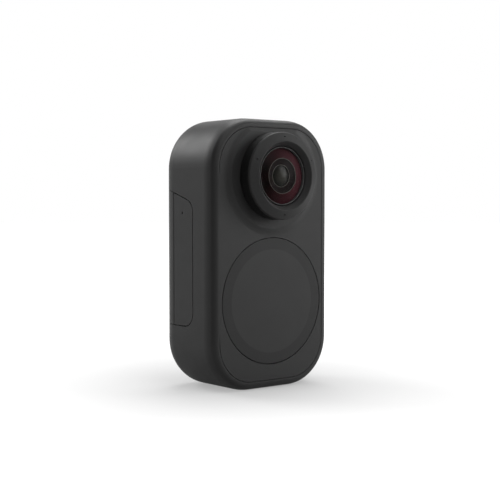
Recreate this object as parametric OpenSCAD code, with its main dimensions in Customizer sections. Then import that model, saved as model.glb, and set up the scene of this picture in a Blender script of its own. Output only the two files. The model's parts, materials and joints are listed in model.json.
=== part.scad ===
// Pocket two-lens camera with a round display and a side door, standing on its base.
// The origin is at the middle of the base. +Z is up and the front faces -Y.

/* [Body] */
// Width of the body
body_w = 53.2; // [52:0.2:60]
// Height of the body
body_h = 95.3; // [94:0.1:110]
// Depth of the body between its flat faces
body_d = 30.8; // [30:0.2:36]
// Radius of the outline's corners
corner_r = 17.5; // [16:0.5:19]
// Thickness of the side walls
wall_t = 1.8; // [1.7:0.05:2]
// Width of the soft front edge across the front face
edge_face = 2.7; // [2.5:0.1:3]
// Length of the soft front edge along the sides
edge_side = 4.8; // [4.2:0.1:5.4]
// Tight radius where the soft front edge meets the front face
edge_tight_r = 2.3; // [2:0.1:2.4]
// Radius of the rear edge
rear_r = 7.6; // [7:0.1:8.4]

/* [Panels] */
// Width of the flat rim between the soft front edge and the front panel's seam
rim_flat = 0.4; // [0.3:0.1:0.6]
// Thickness of the front and rear panels
panel_t = 2.2; // [2:0.1:2.4]
// Width of the ledge that a panel rests on
ledge_w = 1.2; // [1:0.1:1.3]
// Thickness of that ledge
ledge_t = 1.2; // [1:0.1:1.4]
// Distance from the outline to the rear panel's seam
rear_margin = 3.9; // [3.5:0.1:4.1]
// Hairline seam between flush pieces
seam = 0.2; // [0.1:0.05:0.3]

/* [Lenses] */
// Radius of the outer glass
glass_r = 10.05; // [9.6:0.05:10.4]
// Width of the dark gap round the outer glass
glass_gap = 0.55; // [0.45:0.05:0.7]
// Width of the cone inside the ring's lip
cone_w = 1.4; // [1.2:0.1:1.6]
// Width of the ring's sloped face
slope_w = 3.25; // [3:0.05:3.5]
// Width of the barrel's rim under the ring
rim_w = 2.3; // [2.1:0.1:2.5]
// Width of the barrel's shoulder outside its neck
shoulder_w = 1.3; // [1.1:0.1:1.5]
// Step from the barrel's neck in to its tube
neck_step = 1; // [0.8:0.1:1.4]
// Clearance of the neck in the panel's hole
neck_gap = 0.15; // [0.1:0.05:0.2]
// Height of the collar round the lens
collar_h = 0.7; // [0.5:0.1:0.8]
// Width of the collar's flat top outside the barrel
collar_w = 3.4; // [3:0.1:3.6]
// Width of the slope outside that top
collar_slope_w = 1.8; // [1.6:0.1:2]
// Radius of the slope's crest
collar_crest_r = 1.6; // [1:0.1:1.8]
// Radius of the hollow at the slope's foot
collar_hollow_r = 5; // [4:0.1:5.4]
// Fall of the collar towards the top of its panel, in degrees
collar_fall = 25; // [20:0.5:30]
// Thickness of the seal under the barrel
seal_t = 0.3; // [0.2:0.1:0.4]
// Height of the barrel's front end above the panel
barrel_rise = 5; // [4.6:0.1:5.4]
// Depth of the ring's skirt in the barrel
skirt_d = 0.4; // [0.3:0.1:0.6]
// Height of the sloped ring's outer edge above the barrel
ring_edge = 0.9; // [0.7:0.1:1.1]
// Height of the ring's lip above the barrel
ring_lip = 2.4; // [2:0.1:2.8]
// Radius of the ring's rounded lip
lip_round = 0.35; // [0.25:0.05:0.4]
// Radius of the ring's rounded outer edge
ring_round = 0.7; // [0.5:0.1:0.8]
// Radius of a spanner dimple in the ring
dimple_r = 0.25; // [0.2:0.05:0.35]
// Distance of the dimples from the ring's outer edge
dimple_inset = 1.65; // [1.4:0.05:1.9]
// Height of the outer glass's rim above the barrel
glass_rim = 0.3; // [0.2:0.1:0.5]
// Height of the outer glass's cylindrical edge
glass_edge_t = 1.9; // [1.7:0.1:2.1]
// Height of the dome above its rim
dome_sag = 3.4; // [3.2:0.1:3.8]
// Thickness of the dome at its middle
dome_t = 1.4; // [1.2:0.1:1.5]
// Width of the outer glass's seat
dome_seat = 1.45; // [1.3:0.05:1.6]
// Running clearance of the holder in its bore
group_gap = 0.1; // [0.05:0.05:0.15]
// Width of the holder's rim outside the inner lens
holder_w = 2.5; // [2.3:0.1:2.7]
// Height of the inner lens's cylindrical edge
inner_edge_t = 1.1; // [1:0.1:1.2]
// Width of the ledge that the inner lens sits on
inner_ledge = 1.2; // [1:0.1:1.4]
// Height of the inner lens's dome
inner_sag = 1.4; // [1:0.1:1.5]
// Width of the holder's floor outside the aperture
floor_w = 2.6; // [2.4:0.1:2.8]
// Thickness of the nut that clamps the barrel
nut_t = 1.4; // [1.2:0.1:1.6]
// Side of the square sensor board
sensor_board_w = 24; // [22:0.5:25]
// Thickness of the circuit boards
board_t = 1; // [0.8:0.1:1.1]
// Width of the image sensor
sensor_w = 11; // [10:0.5:12]
// Height of the image sensor
sensor_h = 9; // [8:0.5:10]
// Thickness of the image sensor
sensor_t = 1.2; // [1:0.1:1.4]

/* [Display] */
// Distance of the cover glass from the front panel's sides
display_side = 1.2; // [1:0.1:1.5]
// Distance of the cover glass from the front panel's lower edge
display_base = 5.8; // [5:0.1:6]
// Least distance of the cover glass from the lens's collar
display_top = 0.5; // [0.3:0.1:1]
// Thickness of the cover glass
cover_t = 1; // [0.8:0.1:1.1]
// Radius of the cover glass's rounded edge
cover_round = 0.2; // [0.1:0.05:0.3]
// Thickness of the gasket under the cover glass
gasket_t = 0.2; // [0.1:0.05:0.3]
// Width of the cover glass's border outside the display module
display_border = 2.5; // [2.3:0.1:3]
// Thickness of the display module
module_t = 1.6; // [1.4:0.1:1.8]

/* [Side door] */
// Distance of the door's front edge behind the front face
door_front = 11.45; // [11:0.05:12]
// Distance of the line between door and hinge cover behind the front face
door_split = 22.6; // [22:0.1:22.9]
// Height of the door's bottom edge
door_base = 22.8; // [22:0.1:24]
// Drop from the top of the body to the door's top front corner
door_drop = 29.5; // [28.5:0.1:31]
// Rise of the door's top edge towards the rear, in degrees
door_slope = 17.6; // [14:0.2:20]
// Radius of the door's top front corner
door_top_r = 4.5; // [3.5:0.1:5.5]
// Radius of the door's bottom front corner
door_base_r = 4.6; // [4:0.1:5]
// Thickness of the door
door_t = 1.7; // [1.6:0.05:1.75]
// Gap round the door
door_gap = 0.3; // [0.25:0.05:0.35]
// Distance of the hinge axis in front of the door's rear line
hinge_reach = 2.4; // [2.2:0.1:2.6]
// Depth of the hinge axis below the side face
hinge_depth = 0.9; // [0.85:0.05:0.95]
// Radius of the hinge pin
hinge_pin_r = 0.4; // [0.35:0.05:0.4]
// Length of the pin held at each end
hinge_hold = 2; // [1.6:0.1:2.4]
// Radial clearance of the pin in the door
hinge_gap = 0.04; // [0.02:0.01:0.06]
// Thickness of the hinge cover
hinge_cover_t = 1; // [0.8:0.1:1.1]
// Radius of the pin hole in the door
pinhole_r = 0.38; // [0.3:0.02:0.5]
// Depth of the pin hole
pinhole_d = 0.8; // [0.6:0.1:1]
// Drop from the door's top front corner to the pin hole
pinhole_drop = 3.5; // [3:0.1:5]
// Distance of the pin hole behind the door's front edge
pinhole_in = 5.95; // [5.5:0.05:6.5]
// Width of the rubber seal's section
door_seal_w = 1.2; // [1:0.1:1.4]

/* [Ports] */
// Depth of the port tray behind the side wall
tray_depth = 2.1; // [2:0.1:2.2]
// Thickness of the port tray
tray_t = 1; // [0.8:0.1:1.1]
// Margin of the tray round the door's opening
tray_margin = 2; // [1.8:0.1:2.2]
// Distance of the USB socket above the memory card
port_space = 1.5; // [1.3:0.1:2]
// Width of the USB socket
usb_w = 8.94; // [8.94:0.01:8.96]
// Thickness of the USB socket
usb_t = 3.26; // [3.2:0.02:3.3]
// Wall of the USB socket's shell
usb_wall = 0.3; // [0.25:0.05:0.35]
// Length of the USB socket
usb_l = 7.4; // [7:0.1:8]
// Distance of the memory card above the door's bottom edge
card_lift = 3.7; // [3.7:0.1:4.4]
// Width of the memory card
card_w = 11; // [11:0.1:11.2]
// Length of the memory card
card_l = 15; // [15:0.1:15.2]
// Thickness of the memory card
card_t = 0.8; // [0.7:0.1:0.9]
// Length of the card that stands out of the tray
card_out = 0.8; // [0.6:0.1:0.9]
// Push travel of the card
card_travel = 0.9; // [0.6:0.1:1]
// Clearance round the card
card_gap = 0.1; // [0.08:0.02:0.14]
// Wall of the card socket
card_wall = 0.3; // [0.25:0.05:0.35]

/* [Buttons] */
// Drop from the top of the body to the shutter button's centre
shutter_drop = 33; // [32.6:0.1:34]
// Length of the shutter button
shutter_l = 14; // [12:0.5:15]
// Width of the shutter button
shutter_w = 6; // [5:0.1:6.4]
// Distance between the centres of the buttons
button_pitch = 15; // [14.5:0.1:15.5]
// Diameter of the power button
power_w = 6; // [5:0.1:6.4]
// Travel of the buttons
button_travel = 0.4; // [0.3:0.05:0.45]
// Clearance round the buttons
button_gap = 0.15; // [0.1:0.05:0.2]
// Width of the buttons' retaining flange
flange_w = 0.8; // [0.6:0.1:1]
// Thickness of that flange
flange_t = 0.8; // [0.6:0.1:0.9]
// Radius of a button's plunger
plunger_r = 1; // [0.8:0.1:1.2]
// Thickness of the button board
button_board_t = 0.8; // [0.6:0.1:0.9]
// Thickness of a dome switch
switch_t = 0.3; // [0.25:0.05:0.35]
// Radius of a dome switch
switch_r = 2; // [1.6:0.1:2.2]

/* [Inside] */
// Thickness of the chassis plate that carries the lenses
carrier_t = 2; // [1.6:0.1:2.2]
// Distance of the chassis plate's edge from the outline
chassis_inset = 4.9; // [4.9:0.05:5.1]
// Drop from the lens axis to the step in the chassis
chassis_drop = 16.5; // [16:0.1:17]
// Height of the chassis's lower edge
chassis_base = 10; // [9.8:0.1:10.6]
// Thickness of the chassis's lower plate
chassis_t = 1.4; // [1.2:0.1:1.6]
// Distance of the lower plate's front in front of the door's rear line
chassis_reach = 3.2; // [3:0.05:3.4]
// Distance of the chassis screws' bosses from the port tray
boss_space = 0.8; // [0.6:0.1:1]
// Radius of the bosses and of the chassis ears
boss_r = 2.2; // [2:0.1:2.3]
// Radius of the screws' shanks
screw_r = 0.8; // [0.7:0.05:0.9]
// Radius of the screws' heads
screw_head_r = 1.6; // [1.4:0.1:1.8]
// Thickness of the screws' heads
screw_head_t = 0.8; // [0.6:0.1:1]
// Length of the screws' shanks
screw_l = 5; // [4:0.5:6]
// Clearance round a screw's shank
screw_gap = 0.03; // [0.02:0.01:0.05]
// Height of the main board's front above the middle of the body
main_board_front = 7.2; // [7:0.1:7.4]
// Height of the main board's lower edge
main_board_base = 12; // [11.5:0.5:12.5]
// Distance of the main board's upper edge below the step in the chassis
main_board_room = 0.5; // [0.4:0.1:1]
// Distance of the main board's sides from the outline
main_board_inset = 6; // [5.8:0.1:6.4]
// Distance of the lower standoffs from the outline
low_post_inset = 9; // [8.5:0.1:9.5]
// Distance of the upper standoffs from the middle
high_post_x = 3.5; // [3:0.1:4]
// Distance of the standoffs from the board's upper and lower edges
post_edge = 2.8; // [2.6:0.1:3]
// Side of the square processor shield
shield_w = 20; // [18:0.5:22]
// Thickness of the processor shield
shield_t = 1.6; // [1.4:0.1:1.8]
// Thickness of the heat spreader
spreader_t = 1; // [0.8:0.1:1.2]
// Width of the heat spreader
spreader_w = 30; // [26:0.5:32]
// Height of the heat spreader
spreader_h = 32; // [28:0.5:34]
// Distance of the battery's sides from the outline
battery_inset = 7; // [6.5:0.1:8]
// Drop from the lens axis to the battery's upper edge
battery_drop = 20; // [19:0.5:22]
// Distance of the battery from the rear panel
battery_air = 1.6; // [1.4:0.1:2.2]
// Height of the battery's lower edge
battery_base = 12; // [11.5:0.5:13]
// Distance of the speaker above the outline's lower corner
speaker_gap = 0.5; // [0.3:0.1:1.5]
// Length of the speaker
speaker_l = 14; // [12:0.5:15]
// Width of the speaker
speaker_w = 6; // [5:0.5:6.5]
// Thickness of the speaker
speaker_t = 3; // [2.6:0.1:3.3]
// Radius of a sound hole
sound_r = 0.5; // [0.4:0.05:0.6]
// Side of the microphone
mic_w = 2; // [1.8:0.1:2.2]
// Thickness of the microphone
mic_t = 1; // [0.8:0.1:1.1]
// Width of the flat cables
flex_w = 8; // [6:0.5:9]
// Thickness of the flat cables
flex_t = 0.2; // [0.15:0.05:0.25]

/* [Base] */
// Radius of the tripod thread's bore, for a quarter-inch screw
thread_r = 3.175; // [3.1:0.005:3.2]
// Depth of the tripod thread
thread_d = 6; // [5.5:0.1:6.5]
// Outer radius of the tripod insert
insert_r = 4.6; // [4.4:0.1:4.9]
// Radius of the insert's flange
insert_flange_r = 5.6; // [5.4:0.1:6]
// Thickness of the insert's flange
insert_flange_t = 1; // [0.8:0.1:1.2]
// Thickness of the insert above its thread
insert_cap = 1; // [0.8:0.1:1.2]
// Wall of the boss round the insert
insert_wall = 1.8; // [1.5:0.1:2]

/* [Hidden] */
$fn = 96;
// Small step that makes cuts run clear of a face
over = 1;
half_w = body_w / 2;
half_d = body_d / 2;
wall_in = half_w - wall_t;
cav_front = half_d - panel_t - ledge_t;
cav_rear = -cav_front;
front_inset = edge_face + rim_flat;
edge_long_r = (pow(edge_face, 2) + pow(edge_side - edge_tight_r, 2) - pow(edge_tight_r, 2))
    / (2 * (edge_face - edge_tight_r));

// Radii of a lens, and the height of its axis
lip_r = glass_r + glass_gap + cone_w;
ring_r = lip_r + slope_w;
ring_step = 0.05;
barrel_r = ring_r + ring_step;
skirt_r = barrel_r - rim_w;
neck_r = barrel_r - shoulder_w;
tube_r = neck_r - neck_step;
collar_top_r = barrel_r + collar_w;
collar_foot_r = collar_top_r + collar_slope_w;
dimple_circle_r = ring_r - dimple_inset;
group_bore = glass_r - dome_seat;
group_r = group_bore - group_gap;
inner_r = group_r - holder_w;
aperture_r = inner_r - floor_w;
nut_wall = 0.8;
nut_air = 0.2;
nut_r = neck_r + nut_wall;
lens_h = body_h - rear_margin - ledge_w - nut_air - nut_r;

// Heights along a lens axis, measured out from the panel's face
barrel_base = collar_h + seal_t;
skirt_p = barrel_rise - skirt_d;
glass_p = barrel_rise + glass_rim;
dome_base = glass_p - glass_edge_t;
dome_top = glass_p + dome_sag;
board_front = carrier_t / 2 + board_t;
barrel_rear = board_front - half_d;
sensor_air = 0.6;
group_rear = barrel_rear + sensor_t + sensor_air;
inner_rim = dome_base + inner_edge_t;
holder_bevel = 0.3;
holder_lip = 0.7;
dimple_d = 0.6;
dimple_slope = (ring_lip - ring_edge) / slope_w;
dimple_floor = barrel_rise + ring_lip - (dimple_circle_r - lip_r) * dimple_slope - dimple_d;
seal_inset = 0.3;
dimple_angles = [24, 90, 156, 270];

// The display's cover glass fills the room that the front panel leaves below the lens
cover_low = front_inset + display_base;
cover_r = min(half_w - front_inset - display_side, (lens_h - collar_foot_r - display_top - cover_low) / 2);
module_r = cover_r - display_border;
display_rise = cover_low + cover_r;

// Places on the side with the door, where f counts forward from the middle of the depth
door_top = body_h - door_drop;
door_front_f = half_d - door_front;
door_split_f = half_d - door_split;
door_rear_f = door_split_f + door_gap / 2;
cover_front_f = door_split_f - door_gap / 2;
cover_rear_f = -half_d + rear_r * (1 - sin(45));
hinge_f = door_split_f + hinge_reach;
hinge_x = -half_w + hinge_depth;
// Extra height cut above the door's inner half, so that its tail can turn
hinge_relief = 0.9;
hinge_low = door_base - door_gap - hinge_hold;
hinge_high = door_edge_h(hinge_f) + door_gap + hinge_relief + hinge_hold;
tray_floor_out = -wall_in + tray_depth;
tray_floor_in = tray_floor_out + tray_t;
tray_low = door_base - tray_margin;
tray_high = door_edge_h(door_split_f) + tray_margin;
tray_lap = 0.4;
tray_front = door_front_f + door_gap + tray_t + tray_lap;
tray_rear = cover_front_f - tray_t - tray_lap;
chassis_back = -door_split_f - chassis_reach;
card_rise = door_base + card_lift + card_w / 2;
usb_rise = card_rise + card_w / 2 + port_space + usb_w / 2;
port_board_t = 0.8;
port_board_gap = 0.2;
port_margin = 0.6;
port_f = -chassis_back + port_board_t;
card_socket_t = card_t + 2 * card_gap + 2 * card_wall;
card_f = port_f + card_socket_t / 2;
usb_f = port_f + usb_t / 2;
usb_back = 1.2;
card_front = tray_floor_out - card_out;
card_stop = 0.3;
card_back = 0.7;
card_room = card_front + card_l + card_travel + card_stop;
// The seal's frame on the door's back, clear of the card and of the edge that turns inwards
seal_margin = 1;
seal_foot = 2.4;
seal_rear_f = hinge_f + 0.6;
seal_air = 0.3;

// Places of the buttons and the sound pieces
shutter_rise = body_h - shutter_drop;
power_rise = shutter_rise - button_pitch;
mic_rise = (shutter_rise - shutter_l / 2 + power_rise + power_w / 2) / 2;
speaker_rise = corner_r + speaker_gap + speaker_l / 2;
// The speaker stands just in front of the chassis screws' heads
speaker_air = 0.2;
speaker_rear_f = screw_head_t + speaker_air - chassis_back;
speaker_f = speaker_rear_f + speaker_w / 2;

// Places inside
chassis_step = lens_h - chassis_drop;
main_board_top = chassis_step - main_board_room;
low_post_x = half_w - low_post_inset;
low_screw_rise = tray_low - boss_space - boss_r;
high_screw_rise = tray_high + boss_space + boss_r;
plate_edge = half_w - chassis_inset;
low_plate_step = 0.4;
low_plate_edge = plate_edge - low_plate_step;
boss_gap = 0.3;
boss_x = wall_in - boss_r - boss_gap;
screw_tip_gap = 0.3;
module_gap = 0.6;
low_rear = -chassis_back - chassis_t;
main_board_rear = main_board_front - board_t;
button_board_in = plate_edge;
button_board_out = button_board_in + button_board_t;
button_board_w = 5;
button_board_margin = 2;
flange_play = 0.2;
flange_out = wall_in - flange_play;
flange_in = flange_out - flange_t;
plunger_air = 0.05;
plunger_in = button_board_out + switch_t + button_travel + plunger_air;
spreader_shift = 3;
// Lengths of flat cable that lie on what they join
flex_land = 2;
flex_lap = 0.5;
flex_step = 0.1;
insert_top = thread_d + insert_cap;
posts = [
    [-low_post_x, main_board_base + post_edge],
    [low_post_x, main_board_base + post_edge],
    [-high_post_x, main_board_top - post_edge],
    [high_post_x, main_board_top - post_edge]
];
chassis_holes = [
    [-boss_x, low_screw_rise, -chassis_back],
    [boss_x, low_screw_rise, -chassis_back],
    [-boss_x, high_screw_rise, carrier_t / 2],
    [boss_x, high_screw_rise, carrier_t / 2]
];

SHELL = "#39393b";
PANEL = "#3c3c3e";
BLACK = "#18181a";
RUBBER = "#202022";
GLASS = "#14161c";
STEEL = "#b8babd";
ALLOY = "#8f9296";
BOARD = "#1f4a36";
COPPER = "#b87848";
FLEX = "#a8682c";
CELL = "#2a2c30";

// Unit vector along v
function unit(v) = v / norm(v);

// Points of an arc of radius r that rounds the corner b between a and c
function corner_arc(a, b, c, r, steps = 8) = r <= 0 ? [b] :
    let (
        u = unit(a - b),
        v = unit(c - b),
        half = acos(u * v) / 2,
        centre = b + unit(u + v) * r / sin(half),
        from = b + u * r / tan(half) - centre,
        to = b + v * r / tan(half) - centre,
        start = atan2(from.y, from.x),
        sweep = (atan2(to.y, to.x) - start + 540) % 360 - 180
    )
    [for (i = [0:steps]) centre + r * [cos(start + sweep * i / steps), sin(start + sweep * i / steps)]];

// Polygon whose corners are [x, y, radius], with each corner rounded
function soften(corners) =
    let (count = len(corners), points = [for (c = corners) [c.x, c.y]])
    [for (i = [0:count - 1])
        let (before = points[(i + count - 1) % count], after = points[(i + 1) % count])
        each corner_arc(before, points[i], after, corners[i].z)];

// Height of the door's top edge at f
function door_edge_h(f) = door_top + (door_front_f - f) * tan(door_slope);

// Stands up a shape that is drawn lying on its back, with its front up
module stand() { rotate([90, 0, 0]) children(); }

// Sets a shape at a lens, drawn with the panel's face at z = 0; turn is 0 at the front, 180 at the rear
module at_lens(turn) {
    stand() rotate([0, turn, 0]) translate([0, lens_h, half_d]) children();
}

// Box between two corners
module span(low, high) { translate(low) cube(high - low); }

// Body outline moved in by inset
module outline(inset) {
    r = corner_r - inset;
    x = half_w - corner_r;
    translate([-x, inset]) square([2 * x, body_h - 2 * inset]);
    translate([inset - half_w, corner_r]) square([body_w - 2 * inset, body_h - 2 * corner_r]);
    for (sx = [-1, 1])
        for (h = [corner_r, body_h - corner_r])
            translate([sx * x, h]) circle(r);
}

// Plate of that outline from depth low to depth high
module plate(inset, low, high) {
    translate([0, 0, low]) linear_extrude(high - low) outline(inset);
}

// What the soft front edge takes off a square corner at the origin
module front_edge_cut(inset) {
    tight = [-edge_face, -edge_tight_r];
    long = [-edge_long_r, -edge_side];
    aim = unit(tight - long);
    difference() {
        translate([-edge_face, -edge_side]) square([edge_face + over, edge_side + over]);
        translate(tight) circle(edge_tight_r - inset);
        intersection() {
            translate(long) circle(edge_long_r - inset);
            polygon([long, long + aim * 3 * edge_long_r, long + [3 * edge_long_r, 0]]);
        }
    }
}

// What the rear edge takes off a square corner at the origin
module rear_edge_cut(inset) {
    difference() {
        translate([-rear_r, -over]) square([rear_r + over, rear_r + over]);
        translate([-rear_r, rear_r]) circle(rear_r - inset);
    }
}

// Section of the body from an axis out to its side, reach away
module rim_section(reach, inset) {
    difference() {
        translate([0, inset - half_d]) square([reach - inset, body_d - 2 * inset]);
        translate([reach, half_d]) front_edge_cut(inset);
        translate([reach, -half_d]) rear_edge_cut(inset);
    }
}

// The same section to both sides of the axis
module full_section(reach, inset) {
    rim_section(reach, inset);
    mirror([1, 0]) rim_section(reach, inset);
}

// The body as a solid, moved in by inset all round
module soft_block(inset) {
    x = half_w - corner_r;
    translate([0, body_h - corner_r, 0])
        rotate([90, 0, 0]) linear_extrude(body_h - 2 * corner_r) full_section(half_w, inset);
    translate([-x, body_h / 2, 0])
        rotate([90, 0, 90]) linear_extrude(2 * x) full_section(body_h / 2, inset);
    for (turn = [0, 1, 2, 3])
        translate([x * (turn == 0 || turn == 3 ? 1 : -1), turn < 2 ? body_h - corner_r : corner_r, 0])
            rotate([0, 0, 90 * turn]) rotate_extrude(angle = 90) rim_section(corner_r, inset);
}

// Outline of the door and hinge cover seen from the side, grown by grow, from f = rear forwards
module door_outline(grow, lift, rear) {
    front = door_front_f + grow;
    base = door_base - grow;
    rise = (grow + lift) / cos(door_slope);
    polygon(soften([
        [front, base, door_base_r + grow],
        [front, door_edge_h(front) + rise, door_top_r + grow],
        [rear, door_edge_h(rear) + rise, 0],
        [rear, base, 0]
    ]));
}

// Slab of that outline, from depth low to depth high below the side face
module door_slab(grow, lift, rear, low, high) {
    translate([low - half_w, 0, 0])
        rotate([0, 90, 0]) linear_extrude(high - low) mirror([1, 0]) door_outline(grow, lift, rear);
}

// Bar along x with round ends, length along h, centred at height h
module round_bar(h, length, width, low, high) {
    run = (length - width) / 2;
    if (run > 0) span([low, h - run, -width / 2], [high, h + run, width / 2]);
    for (end = run > 0 ? [-run, run] : [0])
        translate([low, h + end, 0]) rotate([0, 90, 0]) cylinder(h = high - low, r = width / 2);
}

// Round post along the depth, at x and h
module post(x, h, low, high, r) {
    translate([x, h, low]) cylinder(h = high - low, r = r);
}

// Soft raised collar on a panel whose seam is margin inside the outline, drawn at a lens
module collar(margin) {
    hollow_w = collar_hollow_r * tan(atan(collar_h / collar_slope_w) / 2);
    edge = collar_foot_r + hollow_w + seam;
    translate([0, 0, -panel_t / 2]) cylinder(h = panel_t / 2 + collar_h, r = barrel_r);
    intersection() {
        rotate_extrude() polygon(soften([
            [neck_r, -panel_t / 2, 0],
            [edge, -panel_t / 2, 0],
            [edge, 0, 0],
            [collar_foot_r, 0, collar_hollow_r],
            [collar_top_r, collar_h, collar_crest_r],
            [neck_r, collar_h, 0]
        ]));
        translate([0, body_h - margin - lens_h, 0]) rotate([-collar_fall, 0, 0])
            span([-body_w, -body_h, -body_d], [body_w, body_d, 0]);
    }
}

// The housing's hollow
module cavity() {
    intersection() {
        soft_block(wall_t);
        span([-half_w, 0, cav_rear], [half_w, body_h, cav_front]);
    }
}

// Bosses inside the housing that the chassis and the tripod insert sit in
module housing_bosses() {
    for (hole = chassis_holes) {
        seat = hole.z - (hole.z > 0 ? carrier_t : chassis_t);
        side = sign(hole.x);
        post(hole.x, hole.y, cav_rear - ledge_t / 2, seat, boss_r);
        span(
            [min(hole.x, side * (half_w - wall_t / 2)), hole.y - boss_r, cav_rear - ledge_t / 2],
            [max(hole.x, side * (half_w - wall_t / 2)), hole.y + boss_r, seat]
        );
    }
    translate([0, wall_t / 2, 0])
        rotate([-90, 0, 0]) cylinder(h = insert_top - wall_t / 2, r = insert_r + insert_wall);
}

// Shape of the tripod insert, grown by grow
module insert_shape(grow) {
    rotate([-90, 0, 0]) cylinder(h = insert_top + grow, r = insert_r + grow);
    translate([0, -grow, 0])
        rotate([-90, 0, 0]) cylinder(h = insert_flange_t + 2 * grow, r = insert_flange_r + grow);
}

module housing() color(SHELL) stand() difference() {
    intersection() {
        union() {
            difference() {
                soft_block(0);
                cavity();
            }
            housing_bosses();
        }
        soft_block(0);
    }
    plate(front_inset, half_d - panel_t, half_d + over);
    plate(front_inset + ledge_w, cav_front - over, half_d);
    plate(rear_margin, -half_d - over, panel_t - half_d);
    plate(rear_margin + ledge_w, -half_d, cav_rear + over);
    door_slab(door_gap, 0, cover_front_f, -over, hinge_depth);
    door_slab(door_gap, hinge_relief, cover_front_f, hinge_depth, wall_t + over / 2);
    intersection() {
        door_slab(seam, 0, cover_rear_f - seam, -over, half_w);
        difference() {
            span([-body_w, 0, -body_d], [0, body_h, body_d]);
            soft_block(hinge_cover_t);
        }
    }
    translate([hinge_x, hinge_low, hinge_f])
        rotate([-90, 0, 0]) cylinder(h = hinge_high - hinge_low, r = hinge_pin_r + screw_gap / 2);
    round_bar(
        shutter_rise, shutter_l + 2 * button_gap, shutter_w + 2 * button_gap, wall_in - over, half_w + over
    );
    round_bar(
        power_rise, power_w + 2 * button_gap, power_w + 2 * button_gap, wall_in - over, half_w + over
    );
    translate([wall_in - over, mic_rise, 0])
        rotate([0, 90, 0]) cylinder(h = wall_t + 2 * over, r = sound_r);
    for (step = [-2:2])
        translate([wall_in - over, speaker_rise + step * speaker_l / 6, speaker_f])
            rotate([0, 90, 0]) cylinder(h = wall_t + 2 * over, r = sound_r);
    for (hole = chassis_holes)
        post(hole.x, hole.y, hole.z - screw_l - screw_tip_gap, hole.z, screw_r + screw_gap);
    translate([0, -over, 0]) insert_shape(0);
    insert_shape(0);
}

module front_panel() color(PANEL) difference() {
    intersection() {
        union() {
            stand() plate(front_inset + seam, half_d - panel_t, half_d);
            at_lens(0) collar(front_inset);
        }
        stand() plate(front_inset + seam, half_d - panel_t, half_d + collar_h + over);
    }
    at_lens(0) cylinder(h = 4 * panel_t, r = neck_r + neck_gap, center = true);
    stand() post(0, display_rise, half_d - cover_t - gasket_t, half_d + over, cover_r + seam);
    stand() post(0, display_rise, half_d - panel_t - over, half_d, module_r + module_gap);
}

module rear_panel() color(PANEL) difference() {
    intersection() {
        union() {
            stand() intersection() {
                soft_block(0);
                plate(rear_margin + seam, -half_d, panel_t - half_d);
            }
            at_lens(180) collar(rear_margin);
        }
        stand() plate(rear_margin + seam, -half_d - collar_h - over, panel_t - half_d);
    }
    at_lens(180) cylinder(h = 4 * panel_t, r = neck_r + neck_gap, center = true);
}

module lens_barrel(turn) color(BLACK) at_lens(turn) rotate_extrude() polygon([
    [group_bore, barrel_rear],
    [tube_r, barrel_rear],
    [tube_r, -panel_t - nut_t],
    [neck_r, -panel_t - nut_t],
    [neck_r, barrel_base],
    [barrel_r, barrel_base],
    [barrel_r, barrel_rise],
    [skirt_r, barrel_rise],
    [skirt_r, skirt_p],
    [glass_r + glass_gap / 3, skirt_p],
    [glass_r + glass_gap / 3, dome_base],
    [group_bore, dome_base]
]);

module lens_ring(turn) color(PANEL) at_lens(turn) difference() {
    rotate_extrude() polygon(soften([
        [glass_r + glass_gap, skirt_p, 0],
        [glass_r + glass_gap, glass_p + glass_rim, 0],
        [lip_r, barrel_rise + ring_lip, lip_round],
        [ring_r, barrel_rise + ring_edge, ring_round],
        [ring_r, barrel_rise, 0],
        [skirt_r - group_gap, barrel_rise, 0],
        [skirt_r - group_gap, skirt_p, 0]
    ]));
    for (angle = dimple_angles)
        rotate(angle) translate([dimple_circle_r, 0, dimple_floor]) cylinder(h = ring_lip, r = dimple_r);
}

module lens_seal(turn) color(RUBBER) at_lens(turn) translate([0, 0, collar_h]) difference() {
    cylinder(h = seal_t, r = barrel_r - seal_inset);
    translate([0, 0, -over]) cylinder(h = seal_t + 2 * over, r = neck_r);
}

module barrel_nut(turn) color(ALLOY) at_lens(turn) translate([0, 0, -panel_t - nut_t]) difference() {
    cylinder(h = nut_t, r = nut_r);
    translate([0, 0, -over]) cylinder(h = nut_t + 2 * over, r = neck_r);
}

module dome_lens(turn) color(GLASS) at_lens(turn) {
    outer_r = (pow(glass_r, 2) + pow(dome_sag, 2)) / (2 * dome_sag);
    hollow_top = dome_top - dome_t;
    hollow_h = hollow_top - dome_base;
    hollow_r = (pow(group_bore, 2) + pow(hollow_h, 2)) / (2 * hollow_h);
    difference() {
        intersection() {
            translate([0, 0, dome_base]) cylinder(h = glass_edge_t + dome_sag + over, r = glass_r);
            translate([0, 0, dome_top - outer_r]) sphere(outer_r);
        }
        translate([0, 0, hollow_top - hollow_r]) sphere(hollow_r);
    }
}

module lens_group(turn) color(BLACK) at_lens(turn) rotate_extrude() polygon([
    [aperture_r, group_rear],
    [group_r, group_rear],
    [group_r, dome_base - holder_bevel],
    [inner_r + holder_lip, inner_rim],
    [inner_r + holder_lip - holder_bevel, inner_rim + holder_bevel],
    [inner_r + group_gap / 2, inner_rim + holder_bevel],
    [inner_r + group_gap / 2, dome_base],
    [inner_r - inner_ledge, dome_base],
    [inner_r - inner_ledge, dome_base - inner_ledge],
    [aperture_r, dome_base - inner_ledge]
]);

module inner_lens(turn) color(GLASS) at_lens(turn) intersection() {
    cap_r = (pow(inner_r, 2) + pow(inner_sag, 2)) / (2 * inner_sag);
    translate([0, 0, dome_base]) cylinder(h = inner_edge_t + inner_sag + over, r = inner_r);
    translate([0, 0, inner_rim + inner_sag - cap_r]) sphere(cap_r);
}

module image_sensor(turn) color(GLASS) at_lens(turn)
    span([-sensor_w / 2, -sensor_h / 2, barrel_rear], [sensor_w / 2, sensor_h / 2, barrel_rear + sensor_t]);

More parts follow.
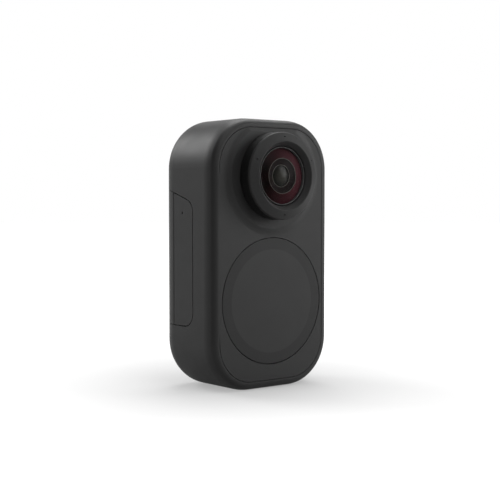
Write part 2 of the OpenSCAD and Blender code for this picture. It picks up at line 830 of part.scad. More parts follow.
module sensor_board(turn) color(BOARD) at_lens(turn)
    span(
        [-sensor_board_w / 2, -sensor_board_w / 2, barrel_rear - board_t],
        [sensor_board_w / 2, sensor_board_w / 2, barrel_rear]
    );

module display_cover() color(GLASS) stand() translate([0, display_rise, half_d - cover_t])
    rotate_extrude() polygon(soften([
        [0, 0, 0],
        [cover_r, 0, 0],
        [cover_r, cover_t, cover_round],
        [0, cover_t, 0]
    ]));

module display_gasket() color(RUBBER) stand() difference() {
    post(0, display_rise, half_d - cover_t - gasket_t, half_d - cover_t, cover_r);
    post(0, display_rise, half_d - panel_t - over, half_d, module_r + module_gap);
}

module display_module() color(BLACK) stand()
    post(0, display_rise, half_d - cover_t - module_t, half_d - cover_t, module_r);

module display_flex() color(FLEX) stand() {
    module_rear = half_d - cover_t - module_t;
    low = display_rise - module_r + flex_lap;
    top = low + flex_land;
    span([-flex_w / 2, low, module_rear - flex_t], [flex_w / 2, top, module_rear]);
    span([-flex_w / 2, low, main_board_front], [flex_w / 2, low + flex_t, module_rear]);
    span([-flex_w / 2, low, main_board_front], [flex_w / 2, top, main_board_front + flex_t]);
}

module chassis() color(ALLOY) stand() difference() {
    union() {
        intersection() {
            plate(chassis_inset, -carrier_t / 2, carrier_t / 2);
            span([-half_w, chassis_step, -half_d], [half_w, body_h, half_d]);
        }
        intersection() {
            plate(half_w - low_plate_edge, low_rear, -chassis_back);
            span([-half_w, chassis_base, -half_d], [half_w, chassis_step + chassis_t, half_d]);
        }
        span(
            [-low_post_x, chassis_step, low_rear],
            [low_post_x, chassis_step + chassis_t, carrier_t / 2]
        );
        for (hole = chassis_holes) {
            rear = hole.z - (hole.z > 0 ? carrier_t : chassis_t);
            post(hole.x, hole.y, rear, hole.z, boss_r);
            span(
                [min(hole.x, sign(hole.x) * low_post_x), hole.y - boss_r, rear],
                [max(hole.x, sign(hole.x) * low_post_x), hole.y + boss_r, hole.z]
            );
        }
        for (place = posts)
            post(place.x, place.y, low_rear, main_board_rear, boss_r);
    }
    for (hole = chassis_holes)
        post(hole.x, hole.y, hole.z - carrier_t - over, hole.z + over, screw_r + screw_gap);
    for (place = posts)
        post(
            place.x, place.y,
            main_board_front - screw_l - screw_tip_gap, main_board_front,
            screw_r + screw_gap
        );
}

// Screw with its head standing on z
module screw(x, h, z) {
    post(x, h, z - screw_l, z, screw_r);
    difference() {
        post(x, h, z, z + screw_head_t, screw_head_r);
        translate([0, 0, z + screw_head_t / 2])
            for (turn = [0, 90])
                translate([x, h, screw_head_t / 2])
                    rotate(turn) cube([2 * screw_r, screw_r / 2, screw_head_t], center = true);
    }
}

module chassis_screws() color(STEEL) stand()
    for (hole = chassis_holes) screw(hole.x, hole.y, hole.z);

module main_board() color(BOARD) stand() difference() {
    intersection() {
        plate(main_board_inset, main_board_rear, main_board_front);
        span([-half_w, main_board_base, 0], [half_w, main_board_top, half_d]);
    }
    for (place = posts)
        post(place.x, place.y, main_board_rear - over, main_board_front + over, screw_r + screw_gap);
}

module board_screws() color(STEEL) stand()
    for (place = posts) screw(place.x, place.y, main_board_front);

module processor_shield() color(STEEL) stand()
    span(
        [-shield_w / 2, display_rise - shield_w / 2, main_board_front],
        [shield_w / 2, display_rise + shield_w / 2, main_board_front + shield_t]
    );

module heat_spreader() color(COPPER) stand() {
    middle = display_rise + spreader_shift;
    span(
        [-spreader_w / 2, middle - spreader_h / 2, main_board_front + shield_t],
        [spreader_w / 2, middle + spreader_h / 2, main_board_front + shield_t + spreader_t]
    );
}

// Flat cable from a sensor board down to the main board
module lens_flex(x, sensor_face, board_face) {
    bend = main_board_top + flex_step;
    top = lens_h - sensor_board_w / 2 + flex_lap;
    span([x, main_board_top - flex_land, board_face - flex_t], [x + flex_w, bend + flex_t, board_face]);
    span([x, bend, sensor_face], [x + flex_w, bend + flex_t, board_face]);
    span([x, bend, sensor_face], [x + flex_w, top, sensor_face + flex_t]);
}

module sensor_flex() color(FLEX) stand()
    lens_flex(high_post_x + boss_r + 1, board_front, main_board_rear);

module battery() color(CELL) stand()
    span(
        [battery_inset - half_w, battery_base, panel_t + battery_air - half_d],
        [half_w - battery_inset, lens_h - battery_drop, low_rear]
    );

module speaker() color(BLACK) stand()
    span(
        [wall_in - speaker_t, speaker_rise - speaker_l / 2, speaker_rear_f],
        [wall_in, speaker_rise + speaker_l / 2, speaker_rear_f + speaker_w]
    );

module microphone() color(STEEL) stand()
    span(
        [button_board_out, mic_rise - mic_w / 2, -mic_w / 2],
        [button_board_out + mic_t, mic_rise + mic_w / 2, mic_w / 2]
    );

module side_door() color(SHELL) stand() difference() {
    door_slab(0, 0, door_rear_f, 0, door_t);
    translate([hinge_x, 0, hinge_f])
        rotate([-90, 0, 0]) cylinder(h = body_h, r = hinge_pin_r + hinge_gap);
    translate([-half_w - over, door_top - pinhole_drop, door_front_f - pinhole_in])
        rotate([0, 90, 0]) cylinder(h = pinhole_d + over, r = pinhole_r);
}

module door_seal() color(RUBBER) stand() {
    low = [door_t - half_w, door_base + seal_foot, seal_rear_f];
    high = [tray_floor_out - seal_air, door_top - seal_margin, door_front_f - seal_margin];
    difference() {
        span(low, high);
        span(
            [low.x - over, low.y + door_seal_w, low.z + door_seal_w],
            [high.x + over, high.y - door_seal_w, high.z - door_seal_w]
        );
    }
}

module door_hinge_pin() color(STEEL) stand()
    translate([hinge_x, hinge_low, hinge_f])
        rotate([-90, 0, 0]) cylinder(h = hinge_high - hinge_low, r = hinge_pin_r);

module hinge_cover() color(SHELL) stand() difference() {
    intersection() {
        soft_block(0);
        door_slab(0, 0, cover_rear_f, -over, half_w / 2);
        span([-half_w, 0, -half_d], [0, body_h, cover_front_f]);
    }
    soft_block(hinge_cover_t);
}

module port_tray() color(BLACK) stand() difference() {
    intersection() {
        span([-wall_in, tray_low, tray_rear], [tray_floor_in, tray_high, tray_front]);
        soft_block(wall_t);
    }
    span(
        [-wall_in - over, tray_low + tray_t, tray_rear + tray_t],
        [tray_floor_out, tray_high - tray_t, tray_front - tray_t]
    );
    round_slot(usb_rise, usb_w + 2 * card_gap, usb_t + 2 * card_gap, usb_f);
    span(
        [tray_floor_out - over, card_rise - card_w / 2 - card_gap, card_f - card_t / 2 - card_gap],
        [tray_floor_in + over, card_rise + card_w / 2 + card_gap, card_f + card_t / 2 + card_gap]
    );
}

// Round-ended slot through the tray's floor, at height h and depth f
module round_slot(h, length, width, f) {
    translate([0, 0, f]) round_bar(h, length, width, tray_floor_out - over, tray_floor_in + over);
}

module port_board() color(BOARD) stand()
    span(
        [tray_floor_in + port_board_gap, card_rise - card_w / 2 - port_margin, -chassis_back],
        [card_room + card_back, usb_rise + usb_w / 2 + port_margin, port_f]
    );

module usb_socket() color(STEEL) stand() translate([0, 0, usb_f]) difference() {
    round_bar(usb_rise, usb_w, usb_t, tray_floor_out, tray_floor_out + usb_l);
    round_bar(
        usb_rise, usb_w - 2 * usb_wall, usb_t - 2 * usb_wall,
        tray_floor_out - over, tray_floor_out + usb_l - usb_back
    );
}

module card_socket() color(STEEL) stand() difference() {
    reach = card_w / 2 + card_gap;
    half_t = card_t / 2 + card_gap;
    span(
        [tray_floor_in, card_rise - reach - card_wall, port_f],
        [card_room + card_back, card_rise + reach + card_wall, port_f + card_socket_t]
    );
    span(
        [tray_floor_in - over, card_rise - reach, card_f - half_t],
        [card_room, card_rise + reach, card_f + half_t]
    );
}

module memory_card() color(BLACK) stand()
    span(
        [card_front, card_rise - card_w / 2, card_f - card_t / 2],
        [card_front + card_l, card_rise + card_w / 2, card_f + card_t / 2]
    );

// Button flush with the side, with its retaining flange and plunger
module button(h, length, width) {
    round_bar(h, length, width, flange_in, half_w);
    round_bar(h, length + 2 * flange_w, width + 2 * flange_w, flange_in, flange_out);
    translate([plunger_in, h, 0])
        rotate([0, 90, 0]) cylinder(h = flange_in - plunger_in + flange_t / 2, r = plunger_r);
}

module shutter_button() color(PANEL) stand() button(shutter_rise, shutter_l, shutter_w);

module power_button() color(PANEL) stand() button(power_rise, power_w, power_w);

module button_board() color(BOARD) stand()
    span(
        [button_board_in, power_rise - power_w / 2 - button_board_margin, -button_board_w / 2],
        [button_board_out, shutter_rise + shutter_l / 2 + button_board_margin, button_board_w / 2]
    );

module dome_switches() color(STEEL) stand()
    for (h = [shutter_rise, power_rise])
        translate([button_board_out, h, 0]) rotate([0, 90, 0]) cylinder(h = switch_t, r = switch_r);

module tripod_insert() color(STEEL) stand() difference() {
    insert_shape(0);
    translate([0, -over, 0]) rotate([-90, 0, 0]) cylinder(h = thread_d + over, r = thread_r);
}

housing();
front_panel();
rear_panel();
lens_barrel(0);  // front_lens_barrel
lens_ring(0);  // front_lens_ring
lens_seal(0);  // front_lens_seal
barrel_nut(0);  // front_barrel_nut
dome_lens(0);  // front_dome_lens
lens_group(0);  // front_lens_group
inner_lens(0);  // front_inner_lens
image_sensor(0);  // front_image_sensor
sensor_board(0);  // front_sensor_board
lens_barrel(180);  // rear_lens_barrel
lens_ring(180);  // rear_lens_ring
lens_seal(180);  // rear_lens_seal
barrel_nut(180);  // rear_barrel_nut
dome_lens(180);  // rear_dome_lens
lens_group(180);  // rear_lens_group
inner_lens(180);  // rear_inner_lens
image_sensor(180);  // rear_image_sensor
sensor_board(180);  // rear_sensor_board
display_cover();
display_gasket();
display_module();
display_flex();
chassis();
chassis_screws();
main_board();
board_screws();
processor_shield();
heat_spreader();
sensor_flex();
battery();
speaker();
microphone();
side_door();
door_seal();
door_hinge_pin();
hinge_cover();
port_tray();
port_board();
usb_socket();
card_socket();
memory_card();
shutter_button();
power_button();
button_board();
dome_switches();
tripod_insert();
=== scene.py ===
"""Looks of a pocket camera with two back-to-back lenses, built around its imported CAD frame."""
import json
import math

import bmesh
import bpy
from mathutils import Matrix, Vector


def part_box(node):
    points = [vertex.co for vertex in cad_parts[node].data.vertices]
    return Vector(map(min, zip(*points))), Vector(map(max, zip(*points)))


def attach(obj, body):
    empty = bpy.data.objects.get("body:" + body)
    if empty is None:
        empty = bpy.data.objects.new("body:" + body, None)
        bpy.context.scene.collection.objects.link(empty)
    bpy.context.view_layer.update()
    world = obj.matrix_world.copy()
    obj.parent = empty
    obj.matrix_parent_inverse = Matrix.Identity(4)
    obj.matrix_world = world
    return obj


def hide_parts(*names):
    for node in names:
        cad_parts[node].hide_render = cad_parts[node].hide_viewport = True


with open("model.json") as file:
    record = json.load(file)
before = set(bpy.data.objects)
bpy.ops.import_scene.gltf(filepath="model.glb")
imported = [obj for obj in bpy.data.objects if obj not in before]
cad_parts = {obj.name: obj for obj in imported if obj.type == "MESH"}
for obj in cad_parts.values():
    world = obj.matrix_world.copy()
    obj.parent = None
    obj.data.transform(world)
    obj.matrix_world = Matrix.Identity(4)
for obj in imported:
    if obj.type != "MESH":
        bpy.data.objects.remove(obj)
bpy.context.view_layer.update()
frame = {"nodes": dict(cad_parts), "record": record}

MM = 0.001
BODY = "camera"
WHITE = (1, 1, 1, 1)


def grey(level):
    """Linear colour of a grey written as an 8-bit screen level."""
    share = level / 255
    linear = share / 12.92 if share <= 0.04045 else ((share + 0.055) / 1.055) ** 2.4
    return (linear, linear, linear)


def tone(red, green, blue):
    """Linear colour of an 8-bit screen colour."""
    return (grey(red)[0], grey(green)[0], grey(blue)[0])


def scaled(colour, share):
    """Colour made lighter or darker by a share."""
    return tuple(min(1.0, channel * share) for channel in colour)


# Node trees

# Noise stays near its middle, so this part of its range is spread out
NOISE_RANGE = (0.25, 0.75)


class Tree:
    """A node tree, with short calls to add and join nodes."""

    def __init__(self, tree):
        self.tree = tree

    def add(self, kind, **settings):
        node = self.tree.nodes.new(kind)
        for key, value in settings.items():
            setattr(node, key, value)
        return node

    def feed(self, target, value):
        """Joins another node's output to target, or sets target to a constant."""
        if isinstance(value, bpy.types.NodeSocket):
            self.tree.links.new(value, target)
        else:
            target.default_value = value

    def math(self, operation, first, second):
        """Result of a calculation with two numbers."""
        node = self.add("ShaderNodeMath", operation=operation)
        self.feed(node.inputs[0], first)
        self.feed(node.inputs[1], second)
        return node.outputs["Value"]

    def measure(self, operation, first, second):
        """Number worked out from two vectors."""
        node = self.add("ShaderNodeVectorMath", operation=operation)
        self.feed(node.inputs[0], first)
        self.feed(node.inputs[1], second)
        return node.outputs["Value"]

    def fade(self, value, start, end, low=0.0, high=1.0, smooth=False):
        """Maps value from the range start to end onto the range low to high."""
        node = self.add("ShaderNodeMapRange", interpolation_type="SMOOTHSTEP" if smooth else "LINEAR")
        for key, limit in (("From Min", start), ("From Max", end), ("To Min", low), ("To Max", high)):
            node.inputs[key].default_value = limit
        self.feed(node.inputs["Value"], value)
        return node.outputs["Result"]

    def mix(self, factor, first, second, kind="FLOAT"):
        """Number or colour between first and second."""
        node = self.add("ShaderNodeMix", data_type=kind)
        self.feed(node.inputs["Factor"], factor)
        self.feed(node.inputs["A"], first)
        self.feed(node.inputs["B"], second)
        return node.outputs["Result"]


class Nodes(Tree):
    """A material's node tree, with the parts of a look."""

    def __init__(self, name):
        self.material = bpy.data.materials.new(name)
        self.material.use_nodes = True
        super().__init__(self.material.node_tree)
        self.shader = self.tree.nodes["Principled BSDF"]
        self.places = self.add("ShaderNodeTexCoord").outputs["Object"]

    def fix(self, **values):
        """Sets constant values on the shader's own sockets."""
        for key, value in values.items():
            self.shader.inputs[key.replace("_", " ")].default_value = value

    def noise(self, size, detail=2.0, roughness=0.5, stretch=(1, 1, 1)):
        """Noise from 0 to 1 with features of about size metres."""
        mapping = self.add("ShaderNodeMapping")
        mapping.inputs["Scale"].default_value = [share / size for share in stretch]
        self.feed(mapping.inputs["Vector"], self.places)
        texture = self.add("ShaderNodeTexNoise")
        texture.inputs["Scale"].default_value = 1.0
        texture.inputs["Detail"].default_value = detail
        texture.inputs["Roughness"].default_value = roughness
        self.feed(texture.inputs["Vector"], mapping.outputs["Vector"])
        return texture.outputs["Fac"]

    def spread(self, noise, low=0.0, high=1.0):
        """Maps noise to the range from low to high."""
        return self.fade(noise, *NOISE_RANGE, low, high)

    def blend(self, factor, first, second):
        """Colour between first and second."""
        ends = [(*colour, 1) if isinstance(colour, tuple) else colour for colour in (first, second)]
        return self.mix(factor, *ends, kind="RGBA")

    def paint(self, colour):
        self.feed(self.shader.inputs["Base Color"], colour)

    def roughen(self, noise, middle, swing):
        """Uneven gloss: roughness that stays within swing of its middle value."""
        self.feed(self.shader.inputs["Roughness"], self.spread(noise, middle - swing, middle + swing))

    def bump(self, height, depth):
        """Adds relief of about depth metres."""
        node = self.add("ShaderNodeBump")
        node.inputs["Strength"].default_value = 1.0
        node.inputs["Distance"].default_value = depth
        self.feed(node.inputs["Height"], height)
        self.feed(self.shader.inputs["Normal"], node.outputs["Normal"])


# Materials

SHADE_DRIFT = 0.06
BRUSH_STRETCH = (14, 14, 1)
TRACK_SIZE = 2.4 * MM
TRACK_WIDTH = 0.03
TRACK_FAINT = (0.15, 0.15, 0.15, 1)
# Turn away from the eye over which a coated face's colour changes into its painted reflection
PAINTED_REFLECTION_TURN = (0.1, 0.42)


def moulded(name, colour, roughness, grain=0.16 * MM, depth=0.004 * MM, shine=0.5):
    """Moulded or anodised surface: fine grain, slow drift of its shade, uneven gloss."""
    nodes = Nodes(name)
    slow = nodes.spread(nodes.noise(size=14 * MM, detail=3))
    shade = nodes.blend(slow, scaled(colour, 1 - SHADE_DRIFT), scaled(colour, 1 + SHADE_DRIFT))
    fine = nodes.noise(size=grain, detail=3, roughness=0.6)
    nodes.paint(nodes.blend(nodes.spread(fine), shade, scaled(colour, 1 + 2 * SHADE_DRIFT)))
    nodes.roughen(nodes.noise(size=5 * MM, detail=4), middle=roughness, swing=0.03)
    nodes.bump(fine, depth)
    nodes.fix(Specular_IOR_Level=shine)
    return nodes.material


def brushed(name, colour, roughness, metallic=1.0):
    """Metal with fine lines along Z."""
    nodes = Nodes(name)
    lines = nodes.noise(size=1.2 * MM, detail=6, roughness=0.7, stretch=BRUSH_STRETCH)
    nodes.paint(nodes.blend(nodes.spread(lines), scaled(colour, 0.86), scaled(colour, 1.08)))
    nodes.roughen(lines, middle=roughness, swing=0.06)
    nodes.bump(lines, depth=0.003 * MM)
    nodes.fix(Metallic=metallic)
    return nodes.material


def circuit(name, colour, trace):
    """Lacquered board with a faint pattern of tracks."""
    nodes = Nodes(name)
    tracks = nodes.add("ShaderNodeTexBrick")
    tracks.inputs["Scale"].default_value = 1 / TRACK_SIZE
    tracks.inputs["Mortar Size"].default_value = TRACK_WIDTH
    tracks.inputs["Color1"].default_value = (0, 0, 0, 1)
    tracks.inputs["Color2"].default_value = TRACK_FAINT
    tracks.inputs["Mortar"].default_value = WHITE
    nodes.feed(tracks.inputs["Vector"], nodes.places)
    nodes.paint(nodes.blend(tracks.outputs["Color"], colour, trace))
    nodes.roughen(nodes.noise(size=3 * MM), middle=0.36, swing=0.06)
    nodes.bump(tracks.outputs["Fac"], depth=0.01 * MM)
    return nodes.material


def coated_glass(name, cover):
    """Clear coated lens glass, seen as a faint gloss of which cover is the share."""
    nodes = Nodes(name)
    dust = nodes.noise(size=2 * MM, detail=4)
    nodes.paint(nodes.blend(nodes.spread(dust), grey(8), grey(14)))
    nodes.fix(Alpha=cover, Roughness=0.45)
    return nodes.material


def painted_reflection_coating(name, near, far):
    """Coated glass with a painted reflection: its colour turns from near, seen face on, to far, the
    painted tint of its reflection seen from the side.
    """
    nodes = Nodes(name)
    facing = nodes.add("ShaderNodeLayerWeight").outputs["Facing"]
    # Painted reflection: the colour turns towards the coating's reflected tint as the face turns from the
    # eye, and the shader itself adds no gloss
    shade = nodes.blend(nodes.fade(facing, *PAINTED_REFLECTION_TURN), near, far)
    cloud = nodes.noise(size=3 * MM, detail=3)
    nodes.paint(nodes.blend(nodes.spread(cloud, high=0.2), shade, scaled(far, 0.5)))
    nodes.roughen(cloud, middle=0.45, swing=0.05)
    nodes.fix(Specular_IOR_Level=0.0)
    return nodes.material


def two_shade_glass(name, rim, middle, centre, radius, blur, roughness, shine):
    """Glass face in two shades, the middle one out to a radius from its centre."""
    nodes = Nodes(name)
    gap = nodes.measure("DISTANCE", nodes.places, centre)
    face = nodes.blend(nodes.fade(gap, radius - blur, radius + blur, smooth=True), middle, rim)
    fine = nodes.noise(size=0.1 * MM)
    nodes.paint(nodes.blend(nodes.spread(fine, high=0.1), face, scaled(middle, 1.3)))
    nodes.roughen(nodes.noise(size=6 * MM, detail=3), middle=roughness, swing=0.03)
    nodes.fix(Specular_IOR_Level=shine)
    return nodes.material


def display_glass():
    """Flush cover with the display's lighter active area in its middle."""
    low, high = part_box("display_cover")
    centre = (low + high) / 2
    centre.y = low.y
    return two_shade_glass(
        "display_glass", rim=grey(35), middle=grey(48), centre=centre,
        radius=18.3 * MM, blur=0.25 * MM, roughness=0.52, shine=0.4,
    )


looks = {
    "shell": moulded("shell_plastic", grey(47), roughness=0.52, shine=0.4),
    "panel": moulded("panel_plastic", grey(47), roughness=0.52, grain=0.12 * MM, shine=0.4),
    "lens_metal": moulded("ring_anodised", grey(61), roughness=0.5, grain=0.1 * MM, shine=0.15),
    "lens_black": moulded("barrel_black", grey(22), roughness=0.6, grain=0.1 * MM, shine=0.3),
    "lens_glass": coated_glass("lens_glass", cover=0.08),
    "display_glass": display_glass(),
    "rubber": moulded("seal_rubber", grey(24), roughness=0.7, grain=0.2 * MM, depth=0.008 * MM),
    "steel": brushed("steel_brushed", grey(186), roughness=0.3),
    "alloy": brushed("alloy_satin", grey(150), roughness=0.45),
    "board": circuit("board_lacquer", tone(31, 74, 54), tone(52, 104, 76)),
    "copper": brushed("copper_sheet", tone(184, 120, 72), roughness=0.35),
    "flex": circuit("flex_film", tone(168, 104, 44), tone(196, 132, 66)),
    "inner_black": moulded("inner_black", grey(28), roughness=0.5, grain=0.14 * MM),
}
slots = {entry["node"]: entry["material_slot"] for entry in frame["record"]["subparts"]}
pin_steel = brushed("pin_blackened", grey(34), roughness=0.5, metallic=0.5)
for node, obj in frame["nodes"].items():
    for place in obj.material_slots:
        place.material = pin_steel if node == "door_hinge_pin" else looks[slots[node]]

ring_metal = moulded("ring_satin", tone(108, 106, 98), roughness=0.5, grain=0.08 * MM, depth=0.001 * MM)
lip_metal = moulded("lip_satin", grey(96), roughness=0.4, grain=0.08 * MM, depth=0.001 * MM)
cone_black = moulded("cone_black", tone(26, 17, 17), roughness=0.7, grain=0.1 * MM, shine=0.1)
# Painted reflection of the coating: dark face on, magenta towards the side
painted_reflection_glass = painted_reflection_coating("painted_reflection_glass", near=tone(8, 10, 7), far=tone(90, 49, 56))


# Pieces of a lens, turned about its axis
# An outline point is a radius and a rise above the lens's base, which is set back from its crown

# Steps of a full turn and of a dome, distance at which points are welded, bend that stays sharp
TURN_STEPS = 96
DOME_STEPS = 10
WELD = 1e-7
SHARP_ANGLE = math.radians(35)

# Gap between pieces, widths of their bevels, rise of the seat that they stand on
PLAY = 0.02 * MM
BEVEL = 0.05 * MM
WIDE_BEVEL = 0.06 * MM
SEAT = 0.1 * MM

# Outer glass: rises of its crown, rim and lower edge, thickness at its crown, hollow behind it
GLASS_CROWN = 5.3 * MM
GLASS_RIM = 1.9 * MM
GLASS_LOW = 1.0 * MM
GLASS_T = 1.4 * MM
HOLLOW_R = 6.3 * MM
HOLLOW_RISE = 2.05 * MM

# Lip round the outer glass: width, rise of its top, depth of its outer bevel
LIP_W = 0.22 * MM
LIP_TOP = 2.08 * MM
LIP_OUTER_DROP = 0.08 * MM

# Retaining ring and stop ring: width and depth of the outer bevel, then inner radius and rises of each
RING_W = 0.19 * MM
RING_OUTER_DROP = 0.07 * MM
RETAINER_R = 6.05 * MM
RETAINER_FOOT = 1.8 * MM
RETAINER_TOP = 1.93 * MM
STOP_R = 3.76 * MM
STOP_FOOT = 1.1 * MM
STOP_TOP = 1.25 * MM

# Coated element: inner radius, rise of its inner edge, inset and rises of its rim, step at its back
COAT_R = RETAINER_R + RING_W + PLAY / 2
COAT_TOP = 1.95 * MM
COAT_INSET = 0.15 * MM
COAT_RIM = 0.9 * MM
COAT_LEDGE = 0.86 * MM
COAT_BACK = 0.8 * MM
COAT_BACK_R = 8.4 * MM

# Stop cone: outer radius, rise of its top, radius of the bend in its slope, bore
CONE_R = 6.2 * MM
CONE_TOP = 1.7 * MM
CONE_KNEE_R = 5.0 * MM
CONE_BORE = STOP_R + RING_W + PLAY

# Inner glass: radius, rise of its rim, bulge above its rim
INNER_R = STOP_R - PLAY
INNER_RIM = 0.8 * MM
INNER_BULGE = 0.9 * MM


class Lens:
    """Place of a lens: its axis at the panel's face, its way out, its glass's edge and its base."""

    def __init__(self, side, facing, panel_y):
        low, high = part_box(side + "_dome_lens")
        self.side = side
        self.facing = facing
        self.centre = (low + high) / 2
        self.centre.y = panel_y
        self.edge = (high.x - low.x) / 2
        self.base = max(abs(low.y - panel_y), abs(high.y - panel_y)) - GLASS_CROWN

    def point(self, radius, rise, angle=0.0):
        """Place of an outline point that is turned by an angle about the axis."""
        return (
            self.centre.x + radius * math.cos(angle),
            self.centre.y + self.facing * (self.base + rise),
            self.centre.z + radius * math.sin(angle),
        )


def add_piece(name, mesh):
    """Puts a mesh into the scene as a piece that rides on the camera's body."""
    piece = bpy.data.objects.new(name, mesh)
    bpy.context.scene.collection.objects.link(piece)
    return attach(piece, BODY)


def band(here, there, count):
    """Faces between two loops of count points each, given by the numbers of their first points."""
    afters = [(i + 1) % count for i in range(count)]
    return [(here + i, there + i, there + after, here + after) for i, after in enumerate(afters)]


def lathe(lens, name, outline, material):
    """Piece turned about a lens's axis from a closed outline."""
    angles = [math.tau * step / TURN_STEPS for step in range(TURN_STEPS)]
    verts = [lens.point(radius, rise, angle) for angle in angles for radius, rise in outline]
    count = len(outline)
    faces = []
    for step in range(TURN_STEPS):
        faces += band(step * count, (step + 1) % TURN_STEPS * count, count)
    mesh = bpy.data.meshes.new(lens.side + name)
    mesh.from_pydata(verts, [], faces)
    welded = bmesh.new()
    welded.from_mesh(mesh)
    bmesh.ops.remove_doubles(welded, verts=welded.verts, dist=WELD)
    bmesh.ops.dissolve_degenerate(welded, edges=welded.edges, dist=WELD)
    bmesh.ops.recalc_face_normals(welded, faces=welded.faces)
    welded.to_mesh(mesh)
    welded.free()
    mesh.shade_smooth()
    mesh.set_sharp_from_angle(angle=SHARP_ANGLE)
    mesh.materials.append(material)
    return add_piece(lens.side + name, mesh)


def dome(rim, bulge):
    """Outline points that follow a rim, up to a crown on the axis."""
    radius, foot = rim
    shares = [1 - step / DOME_STEPS for step in range(1, DOME_STEPS + 1)]
    return [(radius * share, foot + bulge * (1 - share ** 2)) for share in shares]


def thin_ring(inner, foot, top, outer_bevel, inner_bevel):
    """Outline of a thin ring with both top edges bevelled by the given widths."""
    outer = inner + RING_W
    return [
        (inner, foot),
        (outer, foot),
        (outer, top - RING_OUTER_DROP),
        (outer - outer_bevel, top),
        (inner + inner_bevel, top),
        (inner, top - BEVEL),
    ]


def outer_glass(lens):
    """Domed glass that is hollow behind."""
    rim = (lens.edge - LIP_W - PLAY, GLASS_RIM)
    hollow = (HOLLOW_R, HOLLOW_RISE)
    glass = lathe(lens, "_outer_glass", [
        (rim[0], GLASS_LOW),
        rim,
        *dome(rim, GLASS_CROWN - GLASS_RIM),
        *reversed(dome(hollow, GLASS_CROWN - GLASS_T - HOLLOW_RISE)),
        hollow,
        (rim[0] - WIDE_BEVEL, GLASS_LOW + BEVEL),
    ], looks["lens_glass"])
    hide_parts(lens.side + "_dome_lens")


def glass_lip(lens):
    """Thin lip round the outer glass."""
    outer, inner = lens.edge, lens.edge - LIP_W
    lip = lathe(lens, "_glass_lip", [
        (inner, GLASS_LOW),
        (outer, GLASS_LOW - BEVEL),
        (outer, LIP_TOP - LIP_OUTER_DROP),
        (outer - WIDE_BEVEL, LIP_TOP),
        (inner + WIDE_BEVEL, LIP_TOP),
        (inner, LIP_TOP - WIDE_BEVEL),
    ], lip_metal)


def coated_element(lens):
    """Ring of coated glass behind the outer glass, coloured with a painted reflection of its coating."""
    outer = lens.edge - COAT_INSET
    element = lathe(lens, "_coated_element", [
        (COAT_R, SEAT),
        (COAT_BACK_R, SEAT),
        (COAT_BACK_R, COAT_BACK),
        (outer - BEVEL, COAT_LEDGE),
        (outer, COAT_RIM),
        (COAT_R + BEVEL, COAT_TOP),
        (COAT_R, COAT_TOP - BEVEL),
    ], painted_reflection_glass)


def retaining_ring(lens):
    """Thin ring at the inner edge of the coated element."""
    outline = thin_ring(RETAINER_R, RETAINER_FOOT, RETAINER_TOP, outer_bevel=BEVEL, inner_bevel=WIDE_BEVEL)
    ring = lathe(lens, "_retaining_ring", outline, ring_metal)


def stop_cone(lens):
    """Dark funnel from the retaining ring down to the stop ring."""
    cone = lathe(lens, "_stop_cone", [
        (CONE_R, CONE_TOP),
        (CONE_R, SEAT),
        (CONE_BORE, SEAT),
        (CONE_BORE, STOP_FOOT),
        (CONE_KNEE_R, STOP_TOP),
    ], cone_black)


def stop_ring(lens):
    """Thin ring round the inner glass."""
    outline = thin_ring(STOP_R, STOP_FOOT, STOP_TOP, outer_bevel=WIDE_BEVEL, inner_bevel=BEVEL)
    stop = lathe(lens, "_stop_ring", outline, ring_metal)


def inner_glass(lens):
    """Small domed glass in the middle, with a painted sheen that is lighter at its crown and painted shade
    towards its rim.
    """
    rim = (INNER_R, INNER_RIM)
    # Painted sheen and shade: lighter round the crown, darker towards the rim
    look = two_shade_glass(
        lens.side + "_inner_glass", rim=tone(26, 26, 23), middle=tone(64, 63, 57),
        centre=lens.point(0, INNER_RIM + INNER_BULGE),
        radius=2.2 * MM, blur=1.6 * MM, roughness=0.2, shine=0.15,
    )
    glass = lathe(lens, "_inner_glass", [
        (0, SEAT),
        (INNER_R, SEAT),
        rim,
        *dome(rim, INNER_BULGE),
    ], look)
    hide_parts(lens.side + "_inner_lens")


body_low, body_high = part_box("housing")
for lens in (Lens("front", -1, body_low.y), Lens("rear", 1, body_high.y)):
    outer_glass(lens)
    glass_lip(lens)
    coated_element(lens)
    retaining_ring(lens)
    stop_cone(lens)
    stop_ring(lens)
    inner_glass(lens)


# Bead that closes the front panel's seam along its straight left side

# Width of the seam and slack in it; depths of the bead's face, sunk ends and back; its taper; its margin
SEAM = 0.2 * MM
SEAM_SLACK = 0.01 * MM
BEAD_FLUSH = 0.01 * MM
BEAD_SUNK = 0.5 * MM
BEAD_DEPTH = 1.2 * MM
BEAD_TAPER = 6 * MM
BEAD_MARGIN = 14 * MM


def seam_bead(name, left, right, low, high):
    """Strip from left to right, flush with the front face, that sinks into the seam at both ends."""
    face = body_low.y
    back = face + BEAD_DEPTH
    flush, sunk = face + BEAD_FLUSH, face + BEAD_SUNK
    verts = []
    for z, top in ((low, sunk), (low + BEAD_TAPER, flush), (high - BEAD_TAPER, flush), (high, sunk)):
        verts += [(left, top, z), (right, top, z), (right, back, z), (left, back, z)]
    faces = [(0, 1, 2, 3), (15, 14, 13, 12)]
    for start in (0, 4, 8):
        faces += band(start, start + 4, count=4)
    mesh = bpy.data.meshes.new(name)
    mesh.from_pydata(verts, [], faces)
    mesh.materials.append(looks["panel"])
    add_piece(name, mesh)


panel_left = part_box("front_panel")[0].x
seam_bead(
    "left_seam_bead", panel_left - SEAM + SEAM_SLACK, panel_left - SEAM_SLACK,
    BEAD_MARGIN, body_high.z - BEAD_MARGIN,
)


# Stage: floor, surroundings, lights, camera, in metres and watts

